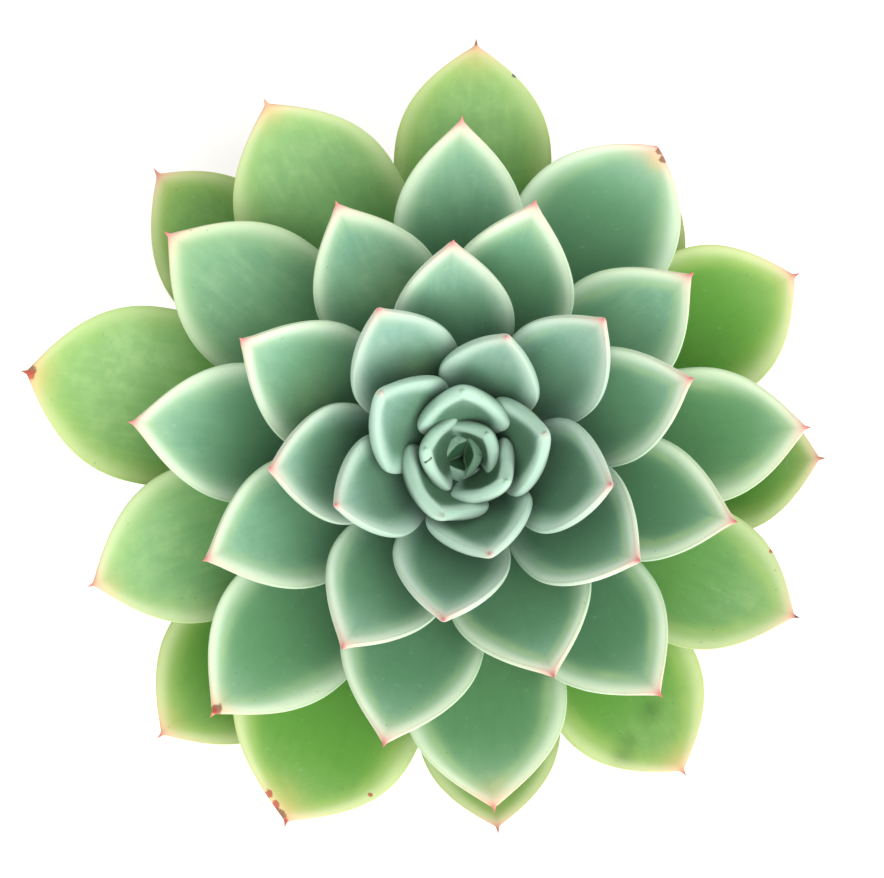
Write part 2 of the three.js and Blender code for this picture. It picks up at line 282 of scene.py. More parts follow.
# %% [markdown]
# ## The spiral
# Each leaf grows about 138 degrees round the stem from the one before it.
# Leaf 0 is the youngest, in the heart, and leaf 50 the oldest, at the skirt.
# Every leaf has a reach, a width and a small turn of its own, measured from the photograph,
# and the rest of its form follows from its age.

# %% The spiral
FIRST_AZIMUTH = 341.9
DIVERGENCE = 138.3
CROWN_HEIGHT = 86
CROWN_DROP = 30
CROWN_TIP_SHARE = 0.28
CROWN_TIP_RADIUS = 0.5
CROWN_RADIUS = 7.4
SEAT_DEPTH = 0.4
BUD_LEAVES = 3

REACH = np.array([
    2.2, 3, 3.5, 4.4, 5.8, 6.9, 9.2, 9.3, 11.8, 15,
    14.6, 17.9, 19.8, 21.2, 24.2, 23.8, 27.7, 28.1, 29.1, 30.7,
    32.8, 34.4, 36.3, 34.4, 37.9, 40.5, 40.3, 41, 43.6, 42.2,
    48.7, 45.2, 49, 52.8, 50.4, 54.3, 52.2, 52.9, 58.2, 54.5,
    59.8, 60.6, 56.1, 66.4, 57.6, 61.4, 61.9, 53.7, 62.7, 56.7,
    52.3,
])
WIDTH = np.array([
    7, 10.5, 11.5, 12, 13, 14, 15.5, 17, 16.5, 17.5,
    17.5, 16.5, 17, 18.5, 18, 18.5, 17, 19, 21, 19,
    19.5, 18.5, 20.5, 22.5, 20, 20.5, 19.5, 20, 22, 20,
    21.5, 22, 20, 23, 21, 23.5, 25, 25, 24, 22,
    26, 29.5, 24, 27, 24, 24, 24.5, 22.5, 22, 22,
    19.5,
])
TURN = np.array([
    15, 2, 3.5, 9, -4, 16, 1, 22, 7.5, -4,
    -1, 7.5, -0.5, 9, 2, 6, 10, 11, 17.5, 3.5,
    9.5, 12.5, 8, 9, 13.5, 2.5, 8.5, 1, 0, 6,
    3.5, 0, 3, 0, 0.5, 1, -6, -1, 2, -1.5,
    5.5, -8, -2, 0.5, -2.5, 3, -1, -2.5, -3, -3.5,
    -3,
])
SIDEWAYS = {
    3: -7, 4: 3, 5: -13, 7: -20, 8: -5, 9: 7, 11: 1, 13: -2, 14: 5,
    16: -1.5, 18: -1, 19: 2, 22: 2, 27: 1, 31: -1, 32: 1, 33: -1, 37: 2,
    38: -1, 39: -2, 40: 1, 41: -2.5, 47: -1, 48: 3, 50: -2,
}

LEAVES = len(REACH)
AGE = np.arange(LEAVES) / (LEAVES - 1)
SEAT_RADIUS = CROWN_TIP_RADIUS + (CROWN_RADIUS - CROWN_TIP_RADIUS) * AGE**0.7
SEAT_HEIGHT = CROWN_HEIGHT - CROWN_DROP * (CROWN_TIP_SHARE * np.sqrt(AGE) + (1 - CROWN_TIP_SHARE) * AGE)
AZIMUTH = np.radians(FIRST_AZIMUTH + np.arange(LEAVES) * DIVERGENCE + TURN)
print("Leaves:", LEAVES)

# %% [markdown]
# ## How a leaf's form follows its age
# A young leaf is a deep cup that stands up, thick at its edge, and drawn out to a point.
# An old one lies flat, with a flat face, a round back and fuller shoulders.
# Each law below goes smoothly from the one to the other.

# %% How a leaf's form follows its age
HEART_LEAVES = 16
RIPE_FROM = 24
RIPE_SPAN = 18
NECK_WIDTH = 0.34
SIDEWAYS_UNTIL = 0.55
YOUNGEST_SLOPE = 78
BUD_SLOPE = 55
OLD_CURL = 30
YOUNG_CURL = 38
OLD_CUP = 0.4
YOUNG_CUP = 1.0
HEART_CUP = 0.4
BUD_CUP = 0.8
BUD_POINT = 0.6
LEAST_THICKNESS = 1.0
THICKNESS_FOR_WIDTH = 0.15
HEART_FATNESS = 0.25
NEWBORN_THINNESS = 0.6
GROWN_FROM = 6


def between(low, high, share):
    """The value a share of the way from low to high."""
    return low + (high - low) * share


def smooth(value, low, high):
    """0 below low and 1 above high, with an S-curve between them."""
    share = np.clip((value - low) / (high - low), 0, 1)
    return share * share * (3 - 2 * share)


def kept_under(value, limit):
    """The value while it is small, bent over smoothly so that it never passes the limit."""
    return value * limit / (value**4 + limit**4) ** 0.25


order = np.arange(LEAVES)
in_heart = 1 - np.clip(order / HEART_LEAVES, 0, 1)
ripe = np.clip((order - RIPE_FROM) / RIPE_SPAN, 0, 1)
pointed = np.clip((14 - order) / 5, 0, 1)
steepest = np.where(order < BUD_LEAVES, BUD_SLOPE, YOUNGEST_SLOPE)
SLOPE = np.radians(steepest) * (1 - order / (LEAVES + 7)) ** 1.2
CURL = np.radians(between(YOUNG_CURL, OLD_CURL, AGE))
CUP = between(OLD_CUP, YOUNG_CUP, (1 - AGE) ** 1.5) + HEART_CUP * in_heart**2
CUP[:BUD_LEAVES] = BUD_CUP
newborn = between(NEWBORN_THINNESS, 1, np.clip(order / GROWN_FROM, 0, 1))
THICKNESS = (LEAST_THICKNESS + THICKNESS_FOR_WIDTH * WIDTH) * (1 + HEART_FATNESS * in_heart) * newborn
UPPER_SHARE = between(0.3, 0.62, in_heart)
BLUNTNESS = between(0.32, 0.55, in_heart)
WIDEST_AT = between(0.59, 0.66, ripe)
SHOULDER = between(2.1, 2.65, ripe) - 0.6 * pointed
POINT = between(1.22, 0.95, ripe) - 0.25 * pointed
POINT[:BUD_LEAVES] = BUD_POINT

# %% [markdown]
# ## Midrib and outline
# The midrib is an arc in the upright plane through the stem's axis, and the outline gives the width along it.
# Each leaf ends in a red, thorn-like point, which is up to two and a half millimetres long.
# It could be a piece of its own, but on the plant it grows out of the leaf without a seam.
# So the blade ends a little short of the tip, and the outline carries on as a thin tapering spike.
# One old leaf has lost its thorn, and its tip is worn round.

# %% Midrib and outline
SHORTEST_THORN = 0.7
LONGEST_THORN = 2.4
THORN_WIDTH = 0.62
THORN_OVERLAP = 0.6
THORN_FROM = 0.8
NECK_CURVE = 1.6
THORN_CURVE = 1.2
WORN_LEAF = 37

THORN_LENGTH = between(SHORTEST_THORN, LONGEST_THORN, np.clip(AGE * 2.5, 0, 1))
THORN_LENGTH[WORN_LEAF] = 0.5
POINT[WORN_LEAF] = 0.84


def midrib(leaf, along):
    """Where a leaf's midrib runs in the upright plane through the stem's axis.

    The midrib is an arc: it starts at the stem, its slope grows evenly by the leaf's curl,
    and its length makes the tip end at the leaf's reach. Gives radius, height, slope and length.
    """
    start = SEAT_RADIUS[leaf] - SEAT_DEPTH
    base = SLOPE[leaf] - CURL[leaf] / 2
    curl = CURL[leaf]
    slope = base + curl * along
    length = (REACH[leaf] - start) * curl / (np.sin(base + curl) - np.sin(base))
    radius = start + length * (np.sin(slope) - np.sin(base)) / curl
    height = SEAT_HEIGHT[leaf] + length * (np.cos(base) - np.cos(slope)) / curl
    return radius, height, slope, length


def half_width(leaf, along, length):
    """Half the leaf's width: a sine from the neck to the widest place, then a power curve to the point.

    Towards the tip a thin taper, the thorn, is joined to the blade as the root of the sum of their
    squares, so that the one runs smoothly into the other.
    """
    thorn = THORN_LENGTH[leaf] / length
    blade = np.clip(along / (1 - THORN_OVERLAP * thorn), 0, 1)
    rise = np.sin(np.pi / 2 * np.clip(blade / WIDEST_AT[leaf], 0, 1))
    lower = between(NECK_WIDTH, 1, rise**NECK_CURVE)
    fall = np.clip((blade - WIDEST_AT[leaf]) / (1 - WIDEST_AT[leaf]), 0, 1)
    upper = (1 - fall ** SHOULDER[leaf]) ** POINT[leaf]
    outline = np.where(blade < WIDEST_AT[leaf], lower, upper) * WIDTH[leaf] / 2
    spike = THORN_WIDTH * np.clip((1 - along) / thorn, 0, 1) ** THORN_CURVE
    return np.hypot(outline, spike * (along > THORN_FROM))


# %% [markdown]
# ## One leaf
# A leaf is a tube whose section is a bent lens: its face turns up towards both edges,
# and its edge is a rounded roll, blunt on a young leaf and thin on an old one.
# The same grid also tells each point how far it is from the edge and from the tip,
# which is what the colours of this plant depend on.

# %% One leaf
LEAF_ROWS = 64
LEAF_COLUMNS = 72
LAST_ROW_GAP = 0.4
TIP_CROWDING = 1.45
EDGE_CROWDING = 0.9
CUP_AT_BASE = 0.55
FULLEST_AT = 0.46
WIDTH_LIMIT = 2.2
FOLD_LIMIT = 0.8


def leaf_form(leaf):
    """The rings of one leaf in millimetres, both poles, and what its points know about their place.

    Along runs from 0 at the stem to 1 at the tip, and closer rings are set near the tip.
    Across runs from -1 to 1 between the edges. Every point is pushed off the bent face
    by its share of the thickness, up on the face and down on the back. Near the tip the thickness
    stays under WIDTH_LIMIT half widths, and the face stays under FOLD_LIMIT of its bend's radius.
    """
    steps = np.arange(LEAF_ROWS) / (LEAF_ROWS - LAST_ROW_GAP)
    along = (1 - (1 - steps) ** TIP_CROWDING)[:, None]
    angle = (2 * np.pi * np.arange(LEAF_COLUMNS) / LEAF_COLUMNS)[None, :]
    across = np.sign(np.cos(angle)) * np.abs(np.cos(angle)) ** EDGE_CROWDING
    side = np.sign(np.round(np.sin(angle), 9))

    radius, height, slope, length = midrib(leaf, along)
    half = half_width(leaf, along, length)
    bend = CUP[leaf] * between(CUP_AT_BASE, 1, np.sin(np.pi * along**1.1))
    young = np.clip(1 - leaf / 12, 0, 1)
    swelling = np.sin(np.pi / 2 * np.clip(along / FULLEST_AT, 0, 2))
    held = np.where(along < 0.5, swelling, np.maximum(swelling, young))
    fullness = (0.5 + 0.5 * held) * np.sqrt(1 - along**9)
    thick = kept_under(THICKNESS[leaf] * fullness, WIDTH_LIMIT * half)
    lens = between(1 - across**2, np.sqrt(np.clip(1 - across**8, 0, 1)), BLUNTNESS[leaf])
    upper = kept_under(thick * lens * UPPER_SHARE[leaf], FOLD_LIMIT * half / bend)
    lower = thick * lens * (1 - UPPER_SHARE[leaf])
    off = np.where(side > 0, upper, side * lower)

    arc = half / bend - off
    sideways = arc * np.sin(bend * across)
    above = half / bend - arc * np.cos(bend * across)
    rings = placed(leaf, along, sideways, above, radius, height, slope)
    tip_radius, tip_height, _, _ = midrib(leaf, 1.0)
    tip = [tip_radius * np.cos(AZIMUTH[leaf]), tip_radius * np.sin(AZIMUTH[leaf]), tip_height]

    from_tip = (1 - along) * length + 0 * across
    from_edge = half * (1 - np.abs(across))
    known = {"along": along + 0 * across, "across": half * across, "edge": from_edge, "tip": from_tip}
    return rings, rings[0].mean(axis=0), np.array(tip), known


def placed(leaf, along, sideways, above, radius, height, slope):
    """Turns distances across and above the midrib into places round the stem.

    The blade swings round the stem by its angle in SIDEWAYS, and back again towards its tip.
    """
    straight = np.clip((along - SIDEWAYS_UNTIL) / (1 - SIDEWAYS_UNTIL), 0, 1) ** 2
    azimuth = AZIMUTH[leaf] + np.radians(SIDEWAYS.get(leaf, 0)) * (1 - straight)
    out = radius - above * np.sin(slope)
    up = height + above * np.cos(slope)
    x = out * np.cos(azimuth) - sideways * np.sin(azimuth)
    y = out * np.sin(azimuth) + sideways * np.cos(azimuth)
    return np.stack([x, y, up + 0 * x], axis=-1)


_, _, far_tip, _ = leaf_form(40)
print("Leaf 40 reaches", round(float(np.hypot(far_tip[0], far_tip[1])), 1), "mm from the stem")

# %% [markdown]
# ## The skin of a leaf
# The flesh is green, under a thin pale wax that makes it blue-green on young leaves.
# It thins towards the edges, which are nearly white on young leaves and cream on old ones.
# The thorn is red, and the red runs a little way back along the edges.
# Soft blue-green patches lie on the face, and faint streaks run along it.
# Each leaf could have a painting of its own. Here its points carry what the colours depend on instead,
# and one finish for all leaves reads it: the shares of halo, rim, blush and the like, and the ripeness.

# %% The skin of a leaf
leaf_finish = Finish("waxy_leaf_skin")
age = leaf_finish.painted("age")
halo = leaf_finish.painted("halo")
rim = leaf_finish.painted("rim")
blush = leaf_finish.painted("blush")
thorn_red = leaf_finish.painted("thorn")
base_green_and_shade = leaf_finish.painted("base_green_and_shade")
thin_wax_and_side_shade = leaf_finish.painted("thin_and_side_shade")
well_shade = leaf_finish.painted("well_shade")
inner = leaf_finish.painted("inner")

LEAF_SPACING = 100.0
STREAK_WIDTH = 1.5
STREAK_LENGTH = 10.0

skin_place = leaf_finish.node(
    "ShaderNodeCombineXYZ",
    {
        "X": leaf_finish.painted("across"),
        "Y": leaf_finish.painted("tip"),
        "Z": leaf_finish.maths("MULTIPLY", age, LEAF_SPACING * (LEAVES - 1)),
    },
).outputs["Vector"]
streak_scale = (1 / STREAK_WIDTH, 1 / STREAK_LENGTH, 1.0)
stretched = leaf_finish.node(
    "ShaderNodeVectorMath", {0: skin_place, 1: streak_scale}, operation="MULTIPLY"
).outputs["Vector"]
streaks = leaf_finish.node(
    "ShaderNodeTexNoise", {"Vector": stretched, "Scale": 1.0, "Detail": 3.0, "Roughness": 0.6}
).outputs["Fac"]
patches = leaf_finish.noise(9.0, 3.0)
mottles = leaf_finish.noise(3.2, 3.0, 0.6)
fine = leaf_finish.noise(1.1, 5.0)
ripening = leaf_finish.painted("ripening")
full_grown = leaf_finish.spread(ripening, 0.26, 0.5)
ageing = leaf_finish.spread(ripening, 0.62, 0.84)


def by_age(young, mid, old):
    """A colour that goes from a young leaf's, through a grown leaf's, to an old leaf's."""
    return leaf_finish.mixed(ageing, leaf_finish.mixed(full_grown, srgb(*young), srgb(*mid)), srgb(*old))


print("Streaks, in millimetres:", STREAK_WIDTH, "by", STREAK_LENGTH)

# %% [markdown]
# ## Coats of colour
# The colour is built up as a painter would do it, in coats, each laid on by its own share.
# Patches and streaks come first, then the deep green at the base, partly the leaf's own colour and partly
# painted shade, and the darker tone where wax is thin, which is also painted shade on the lower right side of
# the plant.
# The pale halo and rim cover those, the red of the thorn covers them, and the painted shade of a deep cup,
# of the bud and of leaves under others comes last, with a little pale dust over all.
# A coat that multiplies darkens what it lies on and hides nothing.

# %% Coats of colour
THIN_WAX_AND_SIDE_SHADE = (0.76, 0.81, 0.74, 1.0)
STREAK_SHADE = (0.8, 0.86, 0.82, 1.0)
WELL_SHADE = (0.22, 0.34, 0.22, 1.0)

teal = by_age((106, 150, 134), (98, 146, 124), (106, 150, 84))
milky = by_age((150, 182, 160), (148, 182, 150), (156, 184, 116))
dark_streaks = leaf_finish.spread(streaks, 0.25, 0.5, 0.4, 0.0)
pale = leaf_finish.maths("MULTIPLY", halo, leaf_finish.spread(patches, 0.2, 0.8, 0.8, 1.1))
greening = leaf_finish.maths("MULTIPLY", inner, leaf_finish.spread(patches, 0.3, 0.7, 0.2, 0.65))
coats = [
    (leaf_finish.spread(patches, 0.38, 0.66, 0.0, 0.65), teal, "MIX"),
    (leaf_finish.spread(mottles, 0.45, 0.75, 0.0, 0.28), milky, "MIX"),
    (leaf_finish.spread(streaks, 0.45, 0.75, 0.0, 0.26), milky, "MIX"),
    # Deep green at the base: partly the leaf's own colour, partly painted shade.
    (base_green_and_shade, by_age((78, 118, 90), (92, 138, 102), (94, 148, 58)), "MIX"),
    # Painted shade on the lower right side of the plant, besides thinner wax.
    (thin_wax_and_side_shade, THIN_WAX_AND_SIDE_SHADE, "MULTIPLY"),
    (dark_streaks, STREAK_SHADE, "MULTIPLY"),
    (pale, by_age((146, 176, 158), (144, 180, 146), (142, 175, 86)), "MIX"),
    (greening, by_age((142, 178, 132), (166, 190, 130), (166, 182, 98)), "MIX"),
    (rim, by_age((186, 206, 190), (218, 230, 204), (208, 213, 168)), "MIX"),
    (leaf_finish.maths("MULTIPLY", blush, 0.75), srgb(214, 160, 148), "MIX"),
    (thorn_red, by_age((206, 116, 118), (202, 100, 104), (178, 78, 80)), "MIX"),
    # Painted shade in the deep cups, on the bud and on leaves that lie under others.
    (well_shade, WELL_SHADE, "MULTIPLY"),
    (leaf_finish.spread(fine, 0.62, 0.8, 0.0, 0.1), srgb(205, 218, 208), "MIX"),
]
face = by_age((124, 157, 140), (115, 157, 129), (114, 154, 92))
for coat_share, coat, blend in coats:
    face = leaf_finish.mixed(coat_share, face, coat, blend)
print("Coats of colour:", len(coats))

# %% [markdown]
# ## Scars and specks
# A living plant isn't clean: some tips have dried, and knocks have left brown scars and red dots.
# A small mark has a sharp outline, so the finish draws it. Its place is told by three numbers:
# how far across the leaf, how far from the tip, and which leaf.
# Read as a place in space, with the leaves set far apart, one distance finds the mark.
# Broad soft stains need no sharp outline, so the leaf's points carry them, and noise breaks them up.

# %% Scars and specks
DOT_SPACING = 2.5
DRY_BROWN = (112, 72, 50)
RUST_RED = (158, 62, 52)
DARK_SPECK = (52, 58, 40)
SMUDGE = (62, 98, 46)
YELLOWING = (182, 190, 104)
RIPENED = (206, 168, 106)
# Pale bloom colour, partly used as painted light.
POWDER_AND_LIGHT = (160, 196, 134)
STAINS = {"ripened": RIPENED, "bruised": SMUDGE, "withered": DRY_BROWN, "powdered_and_lit": POWDER_AND_LIGHT}
MARKS = [
    (4, 1.6, 1.6, 0.2, DARK_SPECK), (8, 7.2, 11.0, 1.3, YELLOWING), (33, 0.1, 2.0, 0.85, DRY_BROWN),
    (33, 0.0, 1.4, 0.5, RUST_RED), (37, -0.7, 0.4, 0.7, DRY_BROWN), (37, -1.9, 1.2, 0.65, DRY_BROWN),
    (39, 0.0, 0.4, 0.7, DARK_SPECK), (39, 8.2, 8.8, 0.35, RUST_RED), (41, -2.2, 2.6, 0.7, RUST_RED),
    (41, -1.2, 1.6, 1.0, DRY_BROWN), (41, 0.0, 0.8, 0.8, RUST_RED), (41, -3.6, 3.8, 0.6, RUST_RED),
    (41, 11.0, 10.5, 0.35, RUST_RED), (43, -0.4, 1.4, 1.0, DRY_BROWN), (43, 0.4, 1.7, 0.8, RUST_RED),
    (45, -5.9, 5.4, 0.4, DARK_SPECK), (45, 0.0, 0.6, 0.6, DRY_BROWN),
]

ragged = leaf_finish.noise(0.9, 4.0, 0.7)
dots = leaf_finish.node(
    "ShaderNodeTexVoronoi", {"Vector": leaf_finish.place, "Scale": 1000 / DOT_SPACING}
).outputs["Distance"]
face = leaf_finish.mixed(leaf_finish.spread(dots, 0.05, 0.08, 0.3, 0.0), face, srgb(*SMUDGE))
waviness = leaf_finish.spread(ragged, 0.3, 0.7, 0.7, 1.35)
broken = leaf_finish.spread(mottles, 0.3, 0.7, 0.6, 1.2)


def marked(surface, leaf, across, from_tip, radius, colour):
    """The surface with a ragged spot on one leaf, its place and radius in millimetres."""
    centre = (across, from_tip, leaf * LEAF_SPACING)
    apart = leaf_finish.node("ShaderNodeVectorMath", {0: skin_place, 1: centre}, operation="DISTANCE")
    wavy = leaf_finish.maths("MULTIPLY", apart.outputs["Value"], waviness)
    spot = leaf_finish.spread(wavy, 0.7 * radius, 1.2 * radius, 0.85, 0.0)
    return leaf_finish.mixed(spot, surface, srgb(*colour))


for stain, stain_colour in STAINS.items():
    stain_share = leaf_finish.maths("MULTIPLY", leaf_finish.painted(stain), broken)
    face = leaf_finish.mixed(stain_share, face, srgb(*stain_colour))
for mark in MARKS:
    face = marked(face, *mark)
print("Marks:", len(MARKS), "and kinds of stain:", len(STAINS))

# %% [markdown]
# ## The wax
# Under a soft light the wax gives a broad, dull sheen, and the flesh below lets a little light through.
# A clear coat would look wet. A low gloss with a little sheen looks dry and powdery, as the bloom does.

# %% The wax
leaf_finish.wear(face, leaf_finish.spread(fine, 0.3, 0.7, 0.58, 0.68))
leaf_finish.relief((patches, 0.25))
leaf_finish.shader.inputs["Subsurface Weight"].default_value = 0.1
leaf_finish.shader.inputs["Subsurface Radius"].default_value = (0.6, 1.0, 0.35)
leaf_finish.shader.inputs["Subsurface Scale"].default_value = 0.0015
leaf_finish.shader.inputs["IOR"].default_value = 1.42
leaf_finish.shader.inputs["Specular IOR Level"].default_value = 0.25
leaf_finish.shader.inputs["Sheen Weight"].default_value = 0.08
leaf_finish.shader.inputs["Sheen Roughness"].default_value = 0.4

# %% [markdown]
# ## Bloom, painted light, rub and stain
# The leaves that point to the upper left of the photograph are painted palest, and those opposite darker:
# this is painted light, as from a lamp at the lower right, carried by the same share as the wax bloom.
# A table gives how much wax each leaf has lost besides, and below 0 it has kept more; part of that is painted
# shade too.
# A few leaves that lie underneath others are darkened with painted shade, and a few are more or less ripe than
# their age tells.
# All of this is judged leaf by leaf, and so are the places of the broad stains.

# %% Bloom, painted light, rub and stain
PAINTED_LIGHT_AZIMUTH = np.radians(130)
# Painted light: 1 on leaves that point to the upper left, 0 on those opposite.
PAINTED_LIGHT = 0.5 + 0.5 * np.cos(AZIMUTH - PAINTED_LIGHT_AZIMUTH)
# Wax lost, and partly painted shade, leaf by leaf; below 0 a leaf is paler.
RUB_AND_SHADE = {
    10: -0.3, 11: -0.6, 16: -0.2, 17: 0.5, 19: 0.25, 22: 0.5, 23: -0.25, 24: 0.4, 27: 0.1,
    29: -0.2, 30: 0.4, 32: 0.25, 33: 0.65, 34: 0.3, 37: 0.6, 38: -0.2, 39: -0.6, 41: 0.25,
    42: 0.35, 43: -0.3, 44: -0.3, 45: -0.3, 46: 0.8, 47: 0.9, 48: 0.4, 49: 0.9,
}
# Painted shade on leaves that lie under others.
UNDER_LEAF_SHADE = {46: 0.15, 47: 0.5, 48: 0.1, 49: 0.55}
UNRIPE = {36: 0.04, 37: 0.12, 40: 0.02, 42: -0.05, 45: 0.04}
BLOOM_AND_LIGHT = np.clip(PAINTED_LIGHT - np.array([RUB_AND_SHADE.get(leaf, 0) for leaf in order]), 0, 1)
STAIN_PLACES = {
    "ripened": [
        (33, 0.0, 2.4, 2.0, 0.4), (36, 0.0, 3.0, 3.0, 0.25), (37, -1.4, 1.6, 1.6, 0.5),
        (38, 1.5, 3.0, 2.6, 0.25), (40, 0.4, 2.0, 2.6, 0.4), (41, -1.6, 2.6, 3.4, 0.45),
        (43, 0.2, 2.4, 3.0, 0.45), (44, 0.4, 2.4, 2.4, 0.35), (45, 0.0, 3.0, 3.2, 0.3),
        (46, -1.0, 2.6, 2.4, 0.25), (50, -4.2, 7.0, 1.2, 0.5),
    ],
    "bruised": [(44, 1.2, 11.9, 1.5, 0.7), (44, -6.0, 8.3, 1.5, 0.7), (44, -4.4, 9.6, 1.1, 0.6)],
    "withered": [(50, -1.6, 2.6, 1.2, 0.6), (50, -3.2, 4.4, 1.3, 0.5)],
    # Pale bloom patches, partly painted light that brightens part of a leaf.
    "powdered_and_lit": [
        (14, -1.7, 21.6, 5.0, 0.2), (22, 3.0, 20.0, 6.0, 0.25), (27, -2.0, 20.5, 6.0, 0.35),
        (38, -3.0, 12.0, 7.0, 0.2), (40, 0.0, 11.0, 8.0, 0.15), (43, -5.5, 15.0, 10.0, 0.5),
        (45, -2.0, 10.0, 9.0, 0.3),
    ],
}


def stained(leaf, known, places):
    """The share of a broad stain at each point: a soft bell round each of its places on this leaf.

    A place is a leaf, how far across it and from its tip, the stain's radius, and its strength.
    """
    share = 0 * known["tip"]
    for stained_leaf, across, from_tip, radius, strength in places:
        if stained_leaf == leaf:
            apart = np.hypot(known["across"] - across, known["tip"] - from_tip)
            share = np.maximum(share, strength * np.exp(-((apart / radius) ** 2)))
    return share


print("Leaves with a bloom of their own:", len(RUB_AND_SHADE))

# %% [markdown]
# ## Colour from the edge and the tip
# A painter would airbrush each leaf from its edge inwards. The points know their distance from the edge
# and from the tip, so a few bell curves of those distances do the same on every leaf.

# %% Colour from the edge and the tip
EDGE_GLOW = between(1.2, 2.0, np.clip(order / 12, 0, 1)) + 0.6 * AGE
TIP_GLOW = 0.1
LAST_BUD_LIKE = 4.0
THORN_SHARE = 0.62
LIGHT_HAZE_SHARE = 0.7


def leaf_paint(leaf, known):
    """The colour shares of a leaf, from how far each point is from the edge, and from the tip.

    A cream rim lies on the edge, in a wider pale halo that also covers TIP_GLOW of the leaf's
    length from the tip. Both get narrower towards the base, where the deep green takes over,
    partly the leaf's own colour and partly painted shade, and two slow waves keep them from being even.
    The bud has hardly any rim yet, and it is painted dark, as painted shade down in the heart.
    Inside the rim runs a yellow-green line. The very crest gets painted shade, most of all on young
    leaves at the lower right, and the rim is less cream on leaves with more bloom and painted light.
    The deep cups of the heart and the leaves that lie under others get painted shade.
    """
    back = 1 - known["along"]
    mature = min(leaf / HEART_LEAVES, 1)
    bud = np.clip(1 - leaf / LAST_BUD_LIKE, 0, 1)
    # Bloom and painted light, which make the rim less cream.
    haze_and_light = max(BLOOM_AND_LIGHT[leaf], LIGHT_HAZE_SHARE * PAINTED_LIGHT[leaf])
    narrowing = between(0.35, 1, smooth(known["along"], 0.3, 0.85))
    side = np.sign(known["across"])
    long_wave = 0.1 * np.sin(8 * known["along"] + 1.7 * leaf * side)
    short_wave = 0.07 * np.sin(21 * known["along"] + leaf * side)
    edge = known["edge"] * (1 + long_wave + short_wave) / narrowing

    glow = np.exp(-((edge / (1.35 * EDGE_GLOW[leaf])) ** 1.6))
    tip_glow = np.exp(-((back / TIP_GLOW) ** 1.25))
    # Painted shade on the very crest, strongest on young leaves at the lower right.
    crest_shade = between(between(0.2, 0.5, PAINTED_LIGHT[leaf]), 0.5, ripe[leaf])
    cream = np.exp(-((edge / (0.88 * EDGE_GLOW[leaf])) ** 2.8)) * between(0.2, 0.9, narrowing)
    cream = cream * between(crest_shade, 1, smooth(known["edge"], 0, 0.55))
    cream = cream * (1 - 0.6 * bud) * between(0.45, 1, mature) * (1 - 0.3 * ripe[leaf]) * (1 - 0.4 * haze_and_light)
    line = np.exp(-(((edge - 1.35 * EDGE_GLOW[leaf]) / (0.4 * EDGE_GLOW[leaf])) ** 2))
    line = line * smooth(known["along"], 0.3, 0.6) * np.clip((leaf - 8) / 5, 0, 1)
    line = line * (1 - 0.8 * PAINTED_LIGHT[leaf]) * (1 - 0.5 * ripe[leaf])

    deep_from = between(0.02, 0.2, BLOOM_AND_LIGHT[leaf]) * between(0.5, 1, mature)
    deepest_from = between(0.24, 0.56, BLOOM_AND_LIGHT[leaf]) * between(0.5, 1, mature)
    rolled = smooth(known["edge"], between(0.9, 0.6, mature), between(1.8, 4.5, mature))
    to_base = smooth(back, deep_from, deepest_from) * rolled
    # Painted shade in the deep cups of the heart.
    shaded = smooth(known["edge"], between(0.6, 2.2, mature), between(1.7, 4.6, mature))
    shaded = shaded * smooth(back, 0.01, between(0.1, 0.3, mature)) * (1 - BLOOM_AND_LIGHT[leaf] * mature)
    under_leaf_shade = UNDER_LEAF_SHADE.get(leaf, 0) * between(0.55, 1, smooth(known["edge"], 0.5, 3.5))

    red = np.exp(-((known["tip"] / (THORN_SHARE * THORN_LENGTH[leaf])) ** 2.4))
    pink = np.exp(-((known["tip"] / 2.4) ** 1.5)) + 0.55 * np.exp(-known["tip"] / 9 - edge / 0.9)
    return {
        "halo": (1 - (1 - glow) * (1 - tip_glow)) * (1 - 0.7 * bud),
        "rim": cream,
        "inner": line,
        "thorn": red * np.clip((leaf - 6) / 6, 0, 1),
        "blush": np.clip(pink, 0, 1) * np.clip((leaf - 9) / 8, 0, 1),
        # The bud is painted dark, as painted shade down in the heart.
        "base_green_and_shade": np.maximum(to_base * (1 - 0.25 * BLOOM_AND_LIGHT[leaf]), bud),
        "well_shade": np.maximum(shaded * np.clip(1.3 - leaf / 12, 0, 1), 0.3 * bud + under_leaf_shade),
        "ripening": AGE[leaf] - UNRIPE.get(leaf, 0) + 0 * back,
        "thin_and_side_shade": (1 - BLOOM_AND_LIGHT[leaf]) * np.clip((leaf - 16) / 10, 0, 1) + 0 * back,
        "across": known["across"],
        "tip": known["tip"],
        **{name: stained(leaf, known, places) for name, places in STAIN_PLACES.items()},
    }


print("Rim widths, in millimetres, from the youngest to the oldest:", EDGE_GLOW[0], "to", EDGE_GLOW[-1])

# %% [markdown]
# ## Growing the leaves
# The loop is over leaves, not over points, and each one is a piece of its own, as on the plant.
# The three youngest have grown together on the stem's tip, so they make one piece, the bud.

# %% Growing the leaves
def grow_leaf(leaf):
    """Points in metres from the pot's centre, faces, and paint for every point and both poles."""
    rings, foot, tip, known = leaf_form(leaf)
    seat = np.array([STEM_X, STEM_Y, 0])
    points = tube_points(rings + seat, foot + seat, tip + seat)
    faces = tube_faces(LEAF_ROWS, LEAF_COLUMNS)
    colours = leaf_paint(leaf, known)
    shares = {name: np.append(v.ravel(), [v[0].mean(), v[-1].mean()]) for name, v in colours.items()}
    shares["age"] = np.full(len(points), AGE[leaf])
    return points, faces, shares


